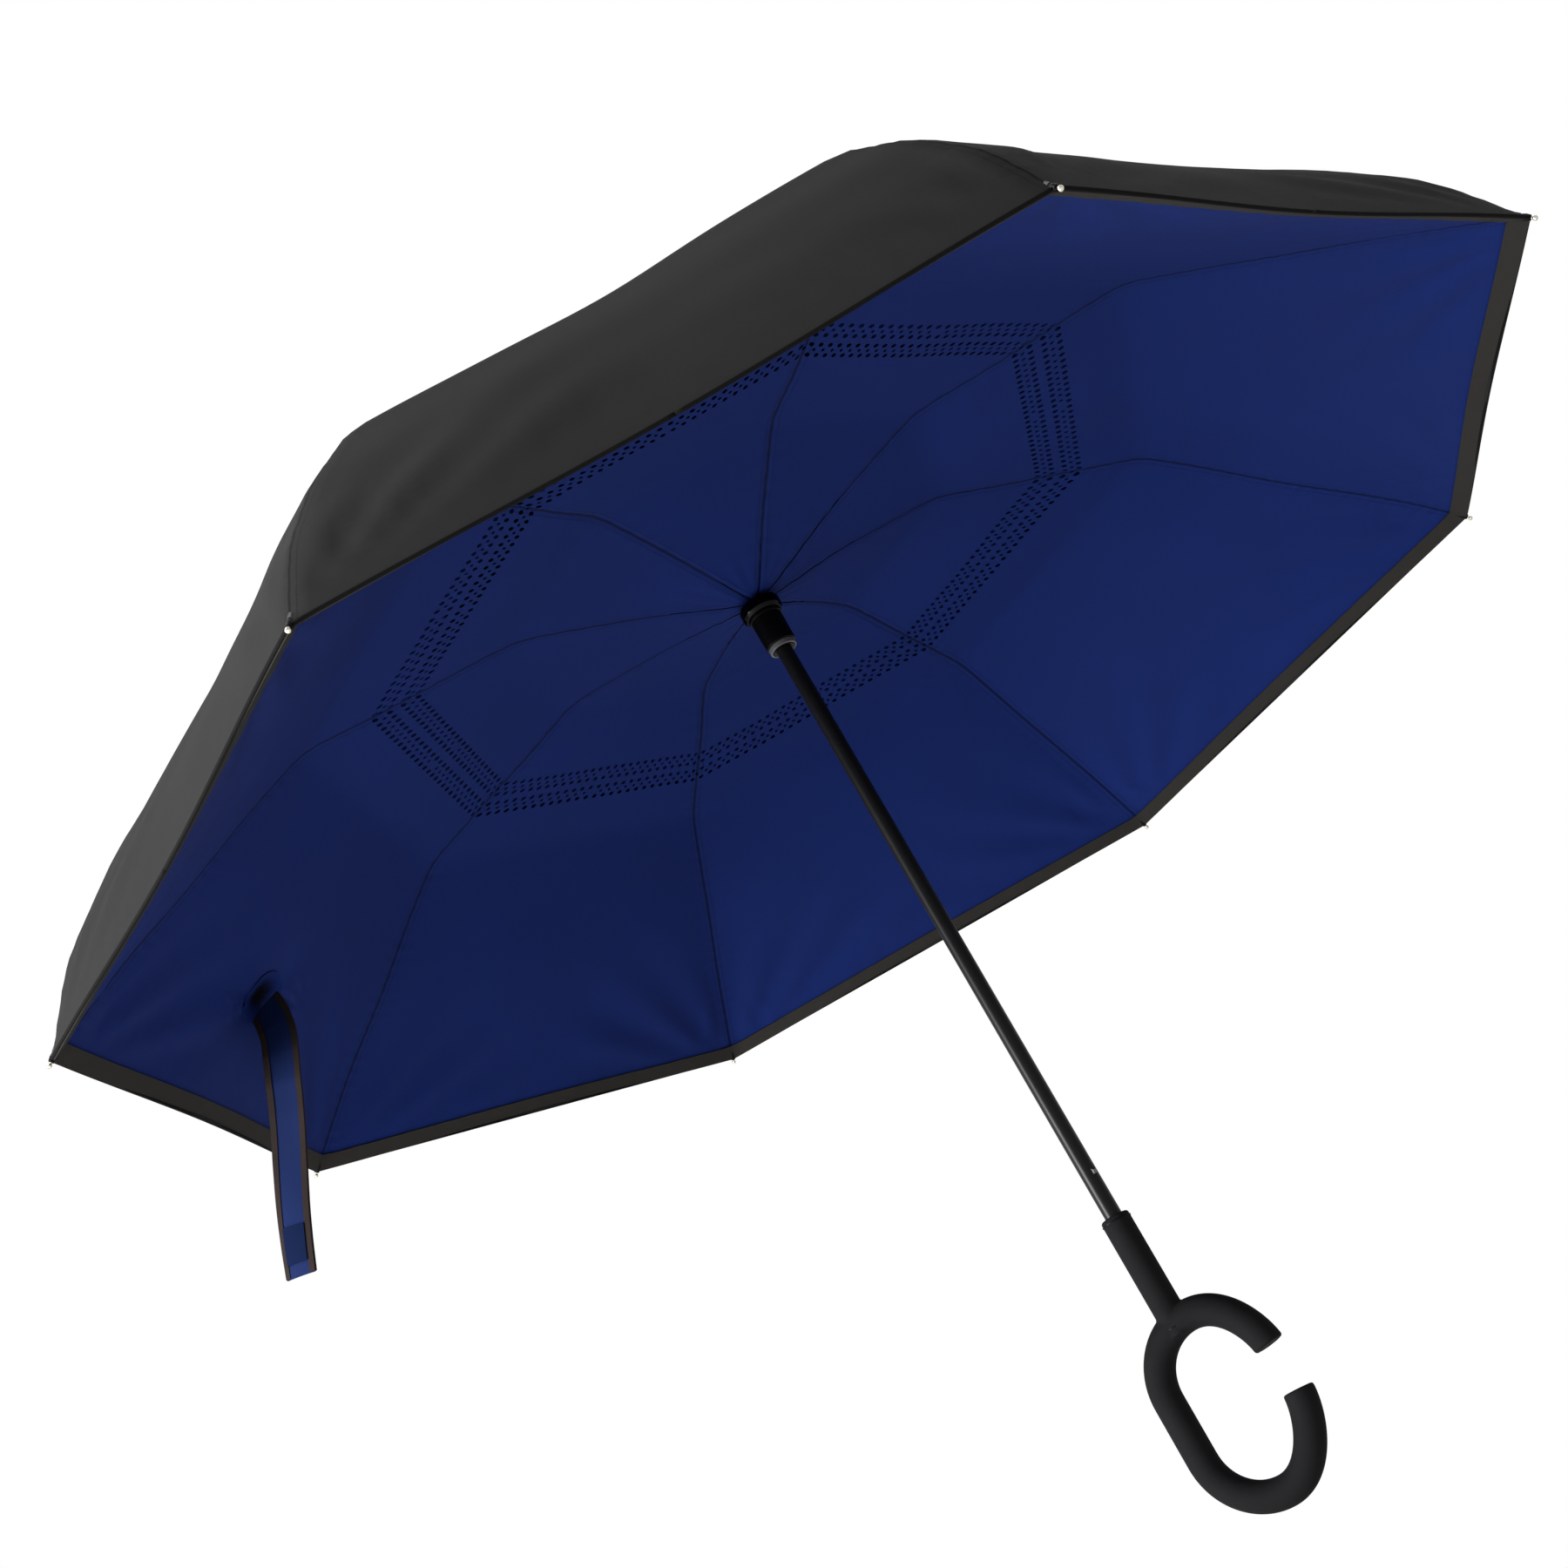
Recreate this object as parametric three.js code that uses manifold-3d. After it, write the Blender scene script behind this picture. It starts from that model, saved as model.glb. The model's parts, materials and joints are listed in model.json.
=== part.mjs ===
// Reverse-folding stick umbrella with two canopy layers and a C-shaped handle.
// Millimetres, +Z up towards the cap. The origin lies on the shaft's axis at the handle's lowest point.
import * as THREE from 'three';
import { mergeVertices } from 'three/addons/utils/BufferGeometryUtils.js';
import Module from 'manifold-3d';

const wasm = await Module();
wasm.setup();

// ---- driving dimensions ----
const SPOKES = 8;
const TIP_RADIUS = 525;
const TIP_Z = 530.5;
const GAP = 0.3;

const SHAFT_R = 5;
const SHAFT_BORE = 4.2;
const SHAFT_FOOT = 150;
const SHAFT_TOP = 824;

const GRIP_R = 9.5;
const LOOP_R = 36.5;
const LOOP_X = -8;
const LOOP_FOOT = GRIP_R;
const LOOP_TOP = 119.5;
const UPPER_LIP = [-43, 82];
const LOWER_LIP = [-44, 53.5];
const STEM_TOP = 190;
const PIN_R = 1.3;
const PIN_Z = 176;

const LINK = 270;
const PIVOT_R = 14;
const NOTCH_Z = 806.5;
const RUNNER_Z = 668.5;
const LINK_TILT = Math.asin((NOTCH_Z - RUNNER_Z) / 2 / LINK);
const JOINT_R = PIVOT_R + LINK * Math.cos(LINK_TILT);
const JOINT_Z = (NOTCH_Z + RUNNER_Z) / 2;
const RIB_OVERRUN = 12;
const ROOT_R = JOINT_R + RIB_OVERRUN * Math.cos(LINK_TILT);
const ROOT_Z = JOINT_Z + RIB_OVERRUN * Math.sin(LINK_TILT);
const BEND_R = 412;
const BEND_Z = 664;

const BAR_HALF = 2.2;
const RIB_HALF_WIDTH = 1;
const EYE_HOLE = 1.2;
const RIVET_R = 1;
const RIVET_HOLE = 1.3;
const FORK_IN = 1.3;
const FORK_OUT = 1.9;
const CHANNEL_IN = 2.2;
const CHANNEL_OUT = 2.8;
const SLOT_HALF = 1.4;
const WIRE_R = 0.8;
const ROD_R = 1.7;

const HUB_R = 17;
const SLEEVE_FOOT = 618.5;
const FLANGE_FOOT = 647.5;
const FLANGE_TOP = 657.5;
const HUB_FOOT = 661.5;
const HUB_TOP = 674.5;
const CORE_R = 7.9;
const BORE_R = SHAFT_R + GAP;
const KEYWAY_R = 7.1;
const NOTCH_FOOT = 800.5;
const NOTCH_TOP = 812.5;

const LOWER_CATCH_AZIMUTH = 150;
const LOWER_CATCH_Z = 220;
const LOWER_WINDOW = [205, 226];
const UPPER_CATCH_AZIMUTH = 330;
const UPPER_CATCH_Z = 632;
const UPPER_WINDOW = [626, 638];
const CATCH_HALF_WIDTH = 1.3;
const WINDOW_HALF_WIDTH = 1.7;

const CLOTH = 1;
const HEM_R = 515;
const HEM_SCOOP = 7;
const GORE_STEPS = 4;
const STRAP_HALF_WIDTH = 12.5;

// ---- materials ----
const finish = (color, roughness, metalness = 0) => () => (
  new THREE.MeshStandardMaterial({ color, roughness, metalness })
);
const softGrip = finish(0x1d1c1e, 0.55);
const blackMetal = finish(0x161618, 0.35, 0.6);
const blackPlastic = finish(0x121214, 0.4);
const glossPlastic = finish(0x08080a, 0.12);
const greyPlastic = finish(0x6e6e72, 0.4);
const steel = finish(0xb9bbc0, 0.3, 0.9);
const fibreglass = finish(0x1a1a1c, 0.45);
const blackCloth = finish(0x242426, 0.8);
const navyCloth = finish(0x141e52, 0.75);
const strapCloth = finish(0x1d2a66, 0.75);
const hookCloth = finish(0x0b1740, 0.9);

const umbrella = new THREE.Group();

// ---- helpers ----
function toSolid(geometry) {
  const bare = geometry.clone();
  bare.deleteAttribute('normal');
  bare.deleteAttribute('uv');
  const merged = mergeVertices(bare, 1e-4);
  const vertProperties = new Float32Array(merged.attributes.position.array);
  const triVerts = new Uint32Array(merged.index.array);
  return new wasm.Manifold(new wasm.Mesh({ numProp: 3, vertProperties, triVerts }));
}

function toGeometry(solid) {
  const { vertProperties, triVerts } = solid.getMesh();
  const geometry = new THREE.BufferGeometry();
  geometry.setAttribute('position', new THREE.BufferAttribute(new Float32Array(vertProperties), 3));
  geometry.setIndex(new THREE.BufferAttribute(new Uint32Array(triVerts), 1));
  geometry.computeVertexNormals();
  return geometry;
}

const join = (...geometries) => geometries.map(toSolid).reduce((whole, next) => whole.add(next));
const cut = (solid, ...geometries) =>
  geometries.map(toSolid).reduce((left, tool) => left.subtract(tool), solid);

function addPart(name, shape, material, azimuth = 0) {
  const geometry = shape.isBufferGeometry ? shape : toGeometry(shape);
  const mesh = new THREE.Mesh(geometry, material());
  mesh.name = name;
  mesh.rotation.z = THREE.MathUtils.degToRad(azimuth);
  umbrella.add(mesh);
}

// A turned piece. The profile is a list of [radius, z] that runs anticlockwise and closes on itself.
function turned(profile, segments = 24) {
  const points = profile.map(([radius, z]) => new THREE.Vector2(radius, z));
  return new THREE.LatheGeometry(points, segments).rotateX(Math.PI / 2);
}

function tubeProfile(inner, outer, low, high) {
  return [[inner, low], [outer, low], [outer, high], [inner, high], [inner, low]];
}

function ringProfile(radius, z, wire, sides) {
  return Array.from({ length: sides + 1 }, (_, i) => {
    const angle = (i % sides) * 2 * Math.PI / sides;
    return [radius + wire * Math.cos(angle), z + wire * Math.sin(angle)];
  });
}

function block(x0, x1, y0, y1, z0, z1) {
  const geometry = new THREE.BoxGeometry(x1 - x0, y1 - y0, z1 - z0);
  return geometry.translate((x0 + x1) / 2, (y0 + y1) / 2, (z0 + z1) / 2);
}

const around = (geometry, degrees) => geometry.rotateZ(THREE.MathUtils.degToRad(degrees));

// A flat plate in a spoke's plane: drawn as (along, across) and spread over the tangential range.
function plate(shape, near, far, curveSegments = 4) {
  const options = { depth: far - near, bevelEnabled: false, curveSegments };
  const geometry = new THREE.ExtrudeGeometry(shape, options);
  return geometry.translate(0, 0, -far);
}

function stadium(from, to, radius, holes = []) {
  const shape = new THREE.Shape();
  shape.absarc(to, 0, radius, -Math.PI / 2, Math.PI / 2, false);
  shape.absarc(from, 0, radius, Math.PI / 2, Math.PI * 1.5, false);
  for (const [along, holeRadius] of holes) {
    const hole = new THREE.Path();
    hole.absarc(along, 0, holeRadius, 0, Math.PI * 2, true);
    shape.holes.push(hole);
  }
  return shape;
}

function rectangle(x0, x1, y0, y1) {
  const shape = new THREE.Shape();
  shape.moveTo(x0, y0);
  shape.lineTo(x1, y0);
  shape.lineTo(x1, y1);
  shape.lineTo(x0, y1);
  return shape;
}

function rivet(along, half) {
  return new THREE.CylinderGeometry(RIVET_R, RIVET_R, half * 2, 10)
    .rotateX(Math.PI / 2).translate(along, 0, 0);
}

// Stands a piece drawn along +X up in a spoke's plane, from a pivot and at a tilt above the horizontal.
function standInPlane(solid, radius, z, tilt) {
  const geometry = toGeometry(solid);
  return geometry.rotateZ(tilt).translate(radius, z, 0).rotateX(Math.PI / 2);
}

// A round bar of any section radius along a curve.
function bar(curve, radius, steps, sides) {
  const section = new THREE.Shape(
    Array.from({ length: sides }, (_, i) => {
      const angle = i * 2 * Math.PI / sides;
      return new THREE.Vector2(radius * Math.cos(angle), radius * Math.sin(angle));
    }),
  );
  return new THREE.ExtrudeGeometry(section, { steps, extrudePath: curve, bevelEnabled: false });
}


// ---- handle ----
// One round grip: from the upper lip over the top, down the back and round the foot to the lower lip.
const ROUND = 0.5523;

function gripLine() {
  const at = (x, z) => new THREE.Vector3(x, 0, z);
  const back = LOOP_X + LOOP_R;
  const highBend = LOOP_TOP - LOOP_R;
  const lowBend = LOOP_FOOT + LOOP_R;
  const pull = LOOP_R * ROUND;
  const line = new THREE.CurvePath();
  line.add(new THREE.CubicBezierCurve3(
    at(...UPPER_LIP), at(UPPER_LIP[0] + 1.5, UPPER_LIP[1] + 14),
    at(LOOP_X - 22, LOOP_TOP), at(LOOP_X, LOOP_TOP),
  ));
  line.add(new THREE.CubicBezierCurve3(
    at(LOOP_X, LOOP_TOP), at(LOOP_X + pull, LOOP_TOP), at(back, highBend + pull), at(back, highBend),
  ));
  line.add(new THREE.LineCurve3(at(back, highBend), at(back, lowBend)));
  line.add(new THREE.CubicBezierCurve3(
    at(back, lowBend), at(back, lowBend - pull), at(LOOP_X + pull, LOOP_FOOT), at(LOOP_X, LOOP_FOOT),
  ));
  line.add(new THREE.CubicBezierCurve3(
    at(LOOP_X, LOOP_FOOT), at(LOOP_X - 22, LOOP_FOOT),
    at(LOWER_LIP[0] + 0.5, LOWER_LIP[1] - 16), at(...LOWER_LIP),
  ));
  return line;
}

function handle() {
  const grip = bar(gripLine(), GRIP_R, 32, 12);
  const stemFoot = LOOP_TOP - 4;
  const stem = turned([
    [0, stemFoot], [GRIP_R, stemFoot], [GRIP_R, STEM_TOP - 1.5], [GRIP_R - 1.5, STEM_TOP], [0, STEM_TOP],
  ], 24);
  const socket = turned([
    [0, SHAFT_FOOT - 1], [BORE_R, SHAFT_FOOT - 1], [BORE_R, STEM_TOP + 1], [0, STEM_TOP + 1],
  ], 24);
  return cut(join(grip, stem), socket, crossPin(PIN_R + GAP, GRIP_R + 2));
}

// The pin lies across the stem, square to the plane of the loop.
function crossPin(radius, half) {
  return new THREE.CylinderGeometry(radius, radius, half * 2, 12).translate(0, 0, PIN_Z);
}

addPart('handle', handle(), softGrip);
addPart('handle_pin', crossPin(PIN_R, GRIP_R - 0.4), blackMetal);

// ---- shaft and its two spring catches ----
function catchWindow(azimuth, [low, high], inner, outer) {
  return around(block(inner, outer, -WINDOW_HALF_WIDTH, WINDOW_HALF_WIDTH, low, high), azimuth);
}

function shaftTube() {
  const tube = toSolid(turned(tubeProfile(SHAFT_BORE, SHAFT_R, SHAFT_FOOT, SHAFT_TOP), 24));
  return cut(
    tube,
    crossPin(PIN_R + GAP, GRIP_R),
    catchWindow(LOWER_CATCH_AZIMUTH, LOWER_WINDOW, 3, 6),
    catchWindow(UPPER_CATCH_AZIMUTH, UPPER_WINDOW, 3, 6),
  );
}

// A bent leaf of spring steel: a leg inside the tube and a tooth that stands out of the window. The tooth
// is square on the side that holds the runner, and the other side is a ramp towards the leg's long end.
function springCatch(z, rampSide) {
  const legIn = 2.2;
  const legOut = 2.9;
  const toothTip = 6.8;
  const shape = new THREE.Shape([
    [legIn, -8], [legOut, -8], [legOut, -3], [toothTip, -3],
    [toothTip, -0.5], [legOut, 3], [legOut, 40], [legIn, 40],
  ].map(([x, along]) => new THREE.Vector2(x, z + along * rampSide)));
  const geometry = new THREE.ExtrudeGeometry(shape, { depth: CATCH_HALF_WIDTH * 2, bevelEnabled: false });
  return geometry.translate(0, 0, -CATCH_HALF_WIDTH).rotateX(Math.PI / 2);
}

addPart('shaft_tube', shaftTube(), blackMetal);
addPart('lower_catch', springCatch(LOWER_CATCH_Z, 1), steel, LOWER_CATCH_AZIMUTH);
addPart('upper_catch', springCatch(UPPER_CATCH_Z, -1), steel, UPPER_CATCH_AZIMUTH);

// ---- top notch and cap ----
function spokeSlots(low, high) {
  return Array.from({ length: SPOKES }, (_, i) => (
    around(block(11.4, HUB_R + 2, -SLOT_HALF, SLOT_HALF, low, high), i * 360 / SPOKES)
  ));
}

function wireGroove(z, top) {
  return turned(tubeProfile(PIVOT_R - WIRE_R - GAP, PIVOT_R + WIRE_R + GAP, z - WIRE_R - GAP, top + 1));
}

function topNotch() {
  const profile = [
    [BORE_R, NOTCH_FOOT], [HUB_R - 1, NOTCH_FOOT], [HUB_R, NOTCH_FOOT + 1],
    [HUB_R, NOTCH_TOP], [BORE_R, NOTCH_TOP],
    [BORE_R, NOTCH_FOOT],
  ];
  return cut(
    toSolid(turned(profile)),
    ...spokeSlots(NOTCH_FOOT - 1, NOTCH_Z + 3),
    wireGroove(NOTCH_Z, NOTCH_TOP),
  );
}

const WASHER_FOOT = NOTCH_TOP + 0.4;
const CANOPY_FOOT = WASHER_FOOT + 1.4;
const CAP_FOOT = CANOPY_FOOT + CLOTH + 0.4;
const CAP_TOP = 830;

addPart('top_notch', topNotch(), blackPlastic);
addPart('notch_wire', turned(ringProfile(PIVOT_R, NOTCH_Z, WIRE_R, 6), 32), steel);
addPart('canopy_washer', turned(tubeProfile(BORE_R, 13, WASHER_FOOT, WASHER_FOOT + 1), 24), blackCloth);
addPart('top_cap', turned([
  [BORE_R, CAP_FOOT], [16, CAP_FOOT], [16, CAP_FOOT + 1.5], [12, CAP_FOOT + 4], [8.5, CAP_FOOT + 6.5],
  [7.5, CAP_TOP - 0.8], [6.7, CAP_TOP], [0, CAP_TOP], [0, SHAFT_TOP + GAP], [BORE_R, SHAFT_TOP + GAP],
  [BORE_R, CAP_FOOT],
]), blackPlastic);

// ---- runner ----
function runnerBody() {
  const profile = [
    [BORE_R, SLEEVE_FOOT], [CORE_R, SLEEVE_FOOT], [CORE_R, HUB_FOOT], [HUB_R, HUB_FOOT], [HUB_R, HUB_TOP],
    [BORE_R, HUB_TOP], [BORE_R, SLEEVE_FOOT],
  ];
  const keyway = (azimuth) => (
    around(block(4, KEYWAY_R, -WINDOW_HALF_WIDTH, WINDOW_HALF_WIDTH, SLEEVE_FOOT - 1, HUB_TOP + 1), azimuth)
  );
  return cut(
    toSolid(turned(profile)),
    ...spokeSlots(RUNNER_Z - 3, HUB_TOP + 1),
    wireGroove(RUNNER_Z, HUB_TOP),
    keyway(LOWER_CATCH_AZIMUTH),
    keyway(UPPER_CATCH_AZIMUTH),
    catchWindow(UPPER_CATCH_AZIMUTH, UPPER_WINDOW, 5, 12),
  );
}

const COLLAR_TOP = SLEEVE_FOOT + 4.5;
const SLEEVE_IN = CORE_R + GAP;
const SLEEVE_OUT = 10.9;
const COLLAR_OUT = 9.5;

function runnerSleeve() {
  const sleeve = toSolid(turned(tubeProfile(SLEEVE_IN, SLEEVE_OUT, COLLAR_TOP + GAP, FLANGE_FOOT - GAP)));
  return cut(sleeve, catchWindow(UPPER_CATCH_AZIMUTH, UPPER_WINDOW, 5, 12));
}

addPart('runner_body', runnerBody(), blackPlastic);
addPart('runner_wire', turned(ringProfile(PIVOT_R, RUNNER_Z, WIRE_R, 6), 32), steel);
addPart('runner_sleeve', runnerSleeve(), blackPlastic);
addPart('runner_collar', turned([
  [SLEEVE_IN, SLEEVE_FOOT], [COLLAR_OUT - 0.8, SLEEVE_FOOT], [COLLAR_OUT, SLEEVE_FOOT + 1],
  [COLLAR_OUT, COLLAR_TOP],
  [SLEEVE_IN, COLLAR_TOP], [SLEEVE_IN, SLEEVE_FOOT],
]), greyPlastic);
addPart('runner_flange', turned([
  [SLEEVE_IN, FLANGE_FOOT], [13.4, FLANGE_FOOT], [14.6, FLANGE_FOOT + 1.4], [14.6, FLANGE_FOOT + 6],
  [13.2, FLANGE_TOP - 1], [10.5, FLANGE_TOP], [SLEEVE_IN, FLANGE_TOP], [SLEEVE_IN, FLANGE_FOOT],
]), glossPlastic);

// ---- spokes ----
// A stretcher hangs from the notch: an eye on the wire, a channel and a fork with the rivet at the joint.
function stretcher() {
  const channelFrom = 10;
  const webTo = LINK - 30;
  const eye = plate(stadium(0, 18, BAR_HALF, [[0, EYE_HOLE]]), -RIB_HALF_WIDTH, RIB_HALF_WIDTH);
  const web = plate(rectangle(channelFrom, webTo, -BAR_HALF, -BAR_HALF + 0.8), -CHANNEL_OUT, CHANNEL_OUT);
  const root = plate(rectangle(channelFrom, 18, -BAR_HALF, BAR_HALF), -CHANNEL_OUT, CHANNEL_OUT);
  const cheek = stadium(channelFrom + BAR_HALF, LINK, BAR_HALF);
  const solid = join(
    eye,
    web,
    root,
    plate(cheek, CHANNEL_IN, CHANNEL_OUT),
    plate(cheek, -CHANNEL_OUT, -CHANNEL_IN),
    rivet(LINK, CHANNEL_OUT),
  );
  return standInPlane(solid, PIVOT_R, NOTCH_Z, -LINK_TILT);
}

// A rib rises from the runner's wire, passes through the stretcher's fork and ends at the rod's fork.
function rib() {
  const end = LINK + RIB_OVERRUN;
  const holes = [[0, EYE_HOLE], [LINK, RIVET_HOLE], [end, RIVET_HOLE]];
  const solid = toSolid(plate(stadium(0, end, BAR_HALF, holes), -RIB_HALF_WIDTH, RIB_HALF_WIDTH));
  return standInPlane(solid, PIVOT_R, RUNNER_Z, LINK_TILT);
}

const inSpoke = (radius, z) => new THREE.Vector3(radius, 0, z);

// Where a curve is cut back so that the bend in the rod is free to turn.
const BEND_GAP = 1;

function rod() {
  const from = inSpoke(ROOT_R, ROOT_Z);
  const to = inSpoke(BEND_R, BEND_Z);
  const crown = inSpoke((ROOT_R + BEND_R) / 2 + 3, (ROOT_Z + BEND_Z) / 2 + 5);
  const line = new THREE.QuadraticBezierCurve3(from, crown, to);
  const start = line.getTangent(0);
  const tilt = Math.atan2(start.z, start.x);
  const fork = join(
    plate(stadium(0, 8, BAR_HALF), FORK_IN, FORK_OUT),
    plate(stadium(0, 8, BAR_HALF), -FORK_OUT, -FORK_IN),
    plate(rectangle(4, 18, -BAR_HALF, BAR_HALF), -FORK_OUT, FORK_OUT),
    rivet(0, FORK_OUT),
  );
  const shank = line.getPoint(0.1);
  const end = line.getPointAt(1 - BEND_GAP / line.getLength());
  const bow = new THREE.QuadraticBezierCurve3(shank, line.getPoint(0.55).lerp(crown, 0.4), end);
  return join(standInPlane(fork, ROOT_R, ROOT_Z, tilt), bar(bow, ROD_R, 6, 8));
}

const TIP_GAP = 7;

function rodEndLine() {
  const crown = inSpoke(470, 605);
  return new THREE.QuadraticBezierCurve3(inSpoke(BEND_R, BEND_Z), crown, inSpoke(TIP_RADIUS, TIP_Z));
}

function rodEnd() {
  const line = rodEndLine();
  const length = line.getLength();
  const points = Array.from({ length: 7 }, (_, i) => {
    const s = BEND_GAP + (length - BEND_GAP - TIP_GAP) * i / 6;
    return line.getPointAt(s / length);
  });
  return bar(new THREE.CatmullRomCurve3(points), ROD_R, 6, 8);
}

// The pin lies on the rod's line, in front of a short collar that holds the canopy's corner.
function tip() {
  const back = -TIP_GAP + GAP;
  const pin = turned([
    [0, back], [2, back], [2, -3.6], [1.2, -3], [1.4, 2], [1, 2.8], [0, 3],
  ], 8);
  const aim = rodEndLine().getTangent(1);
  const turn = new THREE.Quaternion().setFromUnitVectors(new THREE.Vector3(0, 0, 1), aim);
  return pin.applyQuaternion(turn).translate(TIP_RADIUS, 0, TIP_Z);
}

const stretcherShape = stretcher();
const ribShape = rib();
const rodShape = rod();
const rodEndShape = rodEnd();
const tipShape = tip();
for (let i = 0; i < SPOKES; i += 1) {
  const number = i + 1;
  const azimuth = 45 - i * 360 / SPOKES;
  addPart(`stretcher_${number}`, stretcherShape, blackMetal, azimuth);
  addPart(`rib_${number}`, ribShape, blackMetal, azimuth);
  addPart(`rod_${number}`, rodShape, fibreglass, azimuth);
  addPart(`rod_end_${number}`, rodEndShape, fibreglass, azimuth);
  addPart(`tip_${number}`, tipShape, steel, azimuth);
}

// ---- cloth layers ----
// A layer is swept round from its line along a spoke. Between the spokes it lies on straight chords that
// sag a little, and the hem scoops inwards.
function clothLayer(line, sag) {
  const steps = SPOKES * GORE_STEPS;
  const top = [];
  line.forEach(([radius, z]) => {
    const reach = Math.max(0, (radius - 60) / (HEM_R - 60));
    for (let i = 0; i < steps; i += 1) {
      const angle = i * 2 * Math.PI / steps;
      const share = (i % GORE_STEPS) / GORE_STEPS;
      const half = Math.PI / SPOKES;
      const bowl = 4 * share * (1 - share);
      const chord = Math.cos(half) / Math.cos(share * 2 * half - half);
      const flat = 1 + (chord - 1) * Math.min(1, reach * 2);
      const r = radius * flat - HEM_SCOOP * bowl * reach ** 4;
      top.push([r * Math.cos(angle), r * Math.sin(angle), z - sag * bowl * reach]);
    }
  });
  const rows = line.length;
  const under = top.map(([x, y, z]) => [x, y, z - CLOTH]);
  const positions = [...top, ...under].flat();
  const index = [];
  const quad = (a, b, c, d) => index.push(a, b, c, a, c, d);
  const at = (row, i, low) => (low ? rows * steps : 0) + row * steps + (i % steps);
  for (let i = 0; i < steps; i += 1) {
    for (let row = 0; row < rows - 1; row += 1) {
      quad(at(row, i), at(row + 1, i), at(row + 1, i + 1), at(row, i + 1));
      quad(at(row, i, true), at(row, i + 1, true), at(row + 1, i + 1, true), at(row + 1, i, true));
    }
    quad(at(0, i), at(0, i + 1), at(0, i + 1, true), at(0, i, true));
    quad(at(rows - 1, i + 1), at(rows - 1, i), at(rows - 1, i, true), at(rows - 1, i + 1, true));
  }
  const geometry = new THREE.BufferGeometry();
  geometry.setAttribute('position', new THREE.Float32BufferAttribute(positions, 3));
  geometry.setIndex(index);
  geometry.computeVertexNormals();
  return geometry;
}

const OUTER_LINE = [
  [6, CANOPY_FOOT + CLOTH], [17, CANOPY_FOOT + CLOTH], [100, 795], [200, 770], [288, 746], [355, 709],
  [392, 688.5], [416, 669], [450, 638.5], [473, 613], [495, 586], [HEM_R, 549.5],
];
const LINING_LINE = [
  [8.4, 659.6], [16, 660], [71, 674], [160, 688], [216, 680], [319, 664],
  [405, 610], [465, 573], [HEM_R, 538],
];

addPart('outer_canopy', clothLayer(OUTER_LINE, 3), blackCloth);
addPart('lining', clothLayer(LINING_LINE, 0), navyCloth);

// ---- closing strap ----
// It hangs from the lining midway between the first two spokes, its face square to the rim.
const STRAP_AZIMUTH = 22.5;
const STRAP_OUT = 8;
const STRAP_THICK = 1.6;
const STRAP_LINE = [[414, 569], [424.5, 526], [444, 467], [464.5, 409]];

function ribbon(line, halfWidth, near, far) {
  const shape = new THREE.Shape();
  line.forEach(([x, z], i) => (i ? shape.lineTo(x - halfWidth, z) : shape.moveTo(x - halfWidth, z)));
  [...line].reverse().forEach(([x, z]) => shape.lineTo(x + halfWidth, z));
  return plate(shape, near, far).rotateX(Math.PI / 2);
}

const strapFar = STRAP_OUT + STRAP_THICK;
addPart('strap', ribbon(STRAP_LINE, STRAP_HALF_WIDTH, STRAP_OUT, strapFar), strapCloth, STRAP_AZIMUTH);
addPart(
  'strap_patch',
  ribbon([[453, 441], [460.5, 420]], STRAP_HALF_WIDTH - 1, strapFar + GAP, strapFar + GAP + 1),
  hookCloth,
  STRAP_AZIMUTH,
);

export default umbrella;
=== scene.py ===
# Looks of the reverse-folding stick umbrella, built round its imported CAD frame. Lengths are metres.
import json
import math

import bpy
import numpy as np
from mathutils import Matrix, Vector


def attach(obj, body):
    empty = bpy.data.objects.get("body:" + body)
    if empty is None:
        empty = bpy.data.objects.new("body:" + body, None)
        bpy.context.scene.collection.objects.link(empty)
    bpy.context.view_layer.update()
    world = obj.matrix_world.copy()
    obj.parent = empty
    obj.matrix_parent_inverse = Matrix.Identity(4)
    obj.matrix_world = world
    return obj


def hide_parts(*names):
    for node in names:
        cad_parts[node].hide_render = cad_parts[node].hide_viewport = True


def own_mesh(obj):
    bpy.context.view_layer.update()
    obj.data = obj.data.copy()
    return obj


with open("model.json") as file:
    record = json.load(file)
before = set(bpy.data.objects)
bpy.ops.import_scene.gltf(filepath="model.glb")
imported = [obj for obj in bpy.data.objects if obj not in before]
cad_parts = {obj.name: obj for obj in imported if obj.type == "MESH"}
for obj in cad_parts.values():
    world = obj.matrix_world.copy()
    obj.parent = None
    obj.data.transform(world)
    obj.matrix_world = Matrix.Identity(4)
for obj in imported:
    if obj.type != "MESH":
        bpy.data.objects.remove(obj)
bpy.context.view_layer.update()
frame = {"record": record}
scene = bpy.context.scene

MM = 0.001
SPOKES = 8
GORE = 2 * math.pi / SPOKES
HALF_SPREAD = math.sin(GORE) / 2
JOINTS = {joint["name"]: joint for joint in frame["record"]["behaviour"]["joints"]}


# ---- places read from the frame ----
def spoke_place(joint):
    x, y, z = JOINTS[joint]["pos_m"]
    return math.hypot(x, y), z


JOINT_R = spoke_place("rib_2_turn")[0]
BEND_R = spoke_place("rod_end_2_flex")[0]
AZIMUTHS = [math.radians(45 * (1 - i)) for i in range(SPOKES)]


# ---- camera, lights and floor ----
FLOOR_Z = -0.25
FLOOR_HALF = 1.6


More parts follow.
